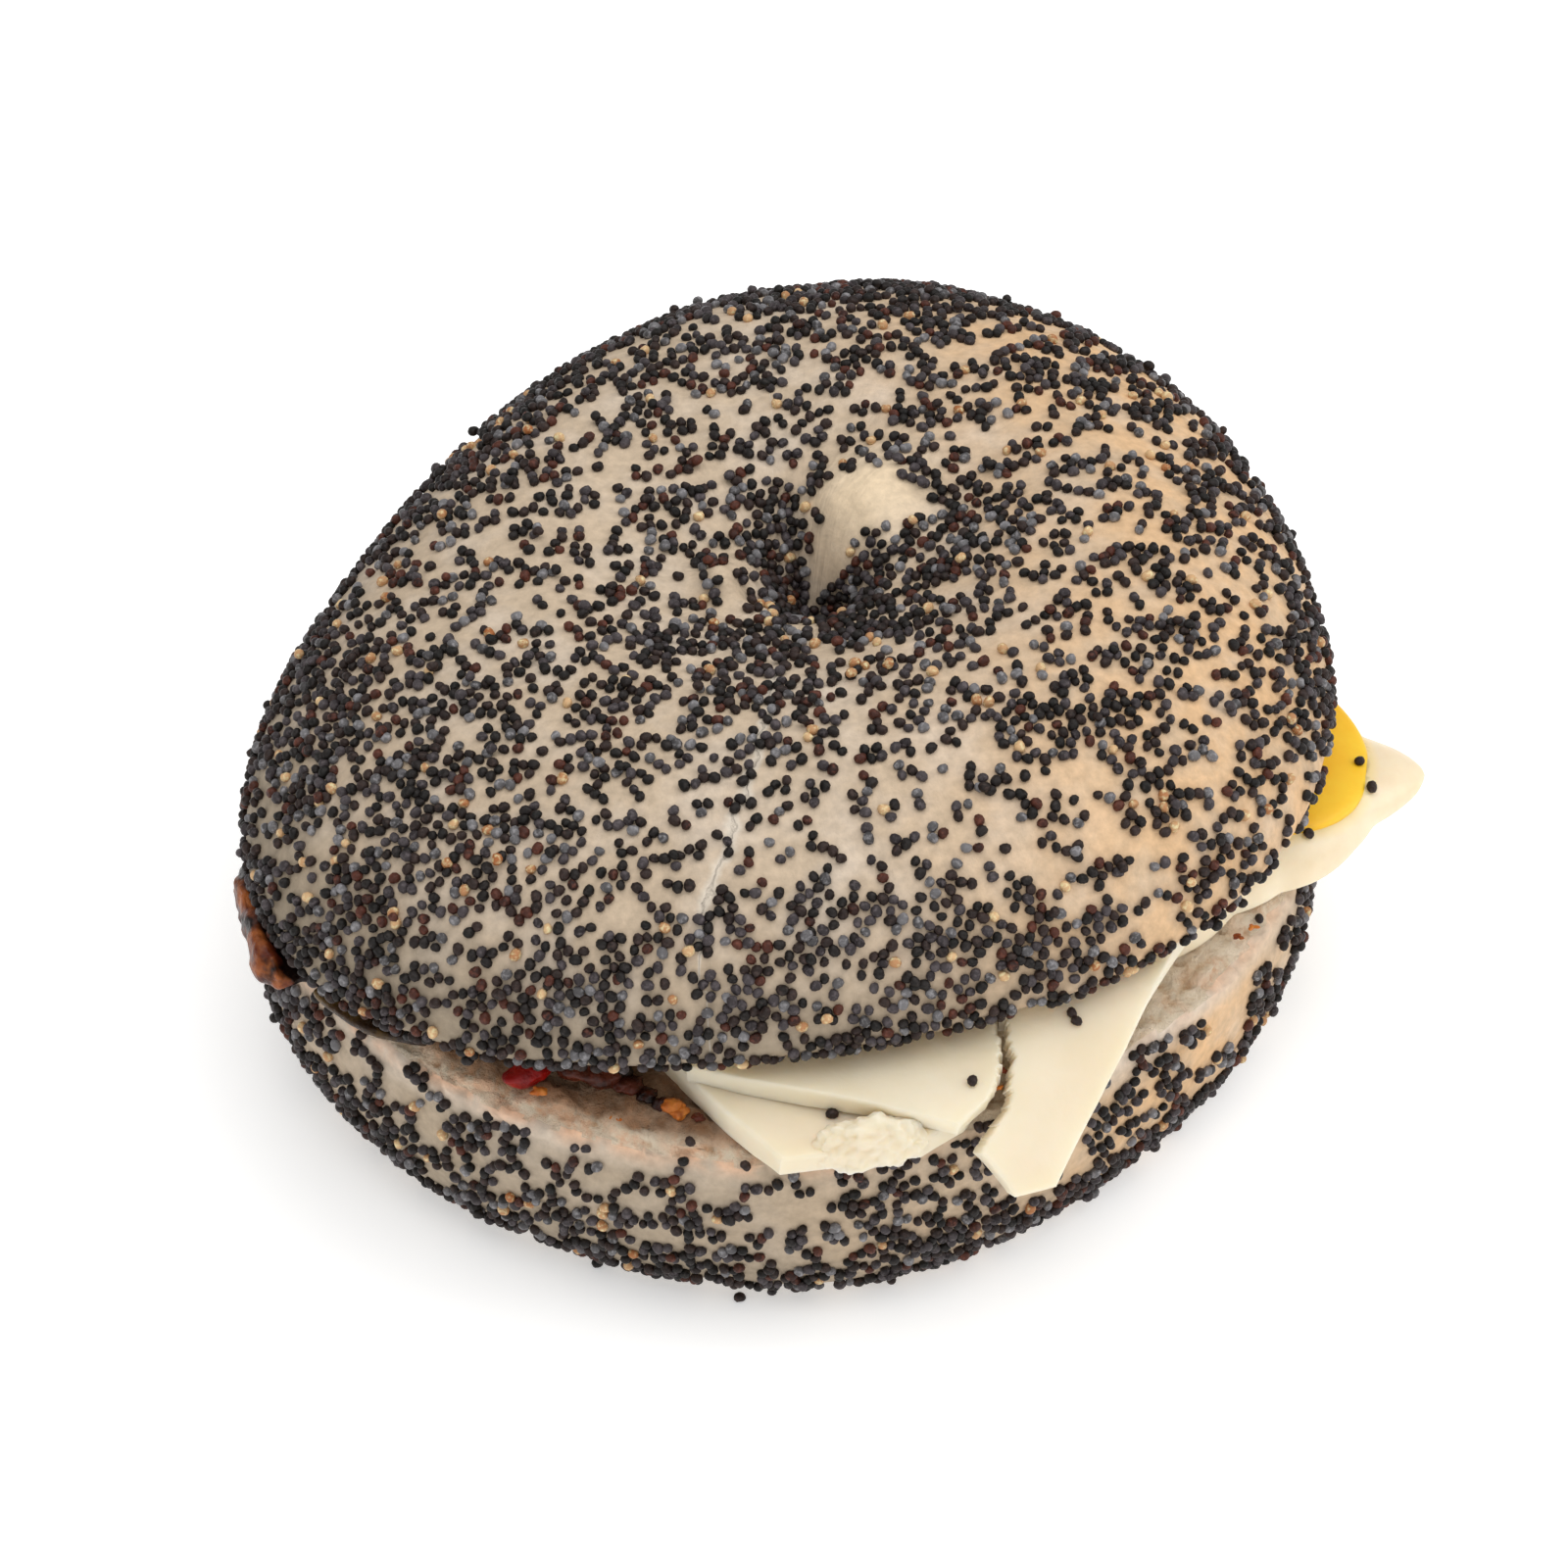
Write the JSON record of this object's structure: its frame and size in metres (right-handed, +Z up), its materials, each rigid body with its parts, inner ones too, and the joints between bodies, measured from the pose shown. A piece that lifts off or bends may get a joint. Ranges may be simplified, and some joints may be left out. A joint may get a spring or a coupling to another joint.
{
  "type": "filled poppy seed bagel",
  "caption": "Round seeded bread roll with a closed pit in its crown, cut across and filled with cheese, egg and roasted vegetables",
  "frame": {"origin": "middle of the flat spot under the bottom half that the bagel rests on", "axes": "+Z up through the crown, +X to the side where the egg sticks out, -Y to the side where the cheese hangs out"},
  "size_m": [0.1092, 0.1099, 0.0489],
  "materials": {
    "crust": "matte pale crust with dark seeds",
    "cheese": "smooth, waxy",
    "egg_white": "moist, slightly clear",
    "egg_yolk": "firm, smooth",
    "tomato": "oily, charred at the edge",
    "pepper": "oily",
    "red_pepper": "wet"
  },
  "bodies": {
    "root": {"top_half": "crust", "bottom_half": "crust", "cheese_left": "cheese", "cheese_middle": "cheese", "cheese_right": "cheese", "egg_white": "egg_white", "egg_yolk": "egg_yolk", "dried_tomato": "tomato", "dark_tomato": "tomato", "pepper_strip": "pepper", "red_pepper": "red_pepper"}
  },
  "joints": []
}
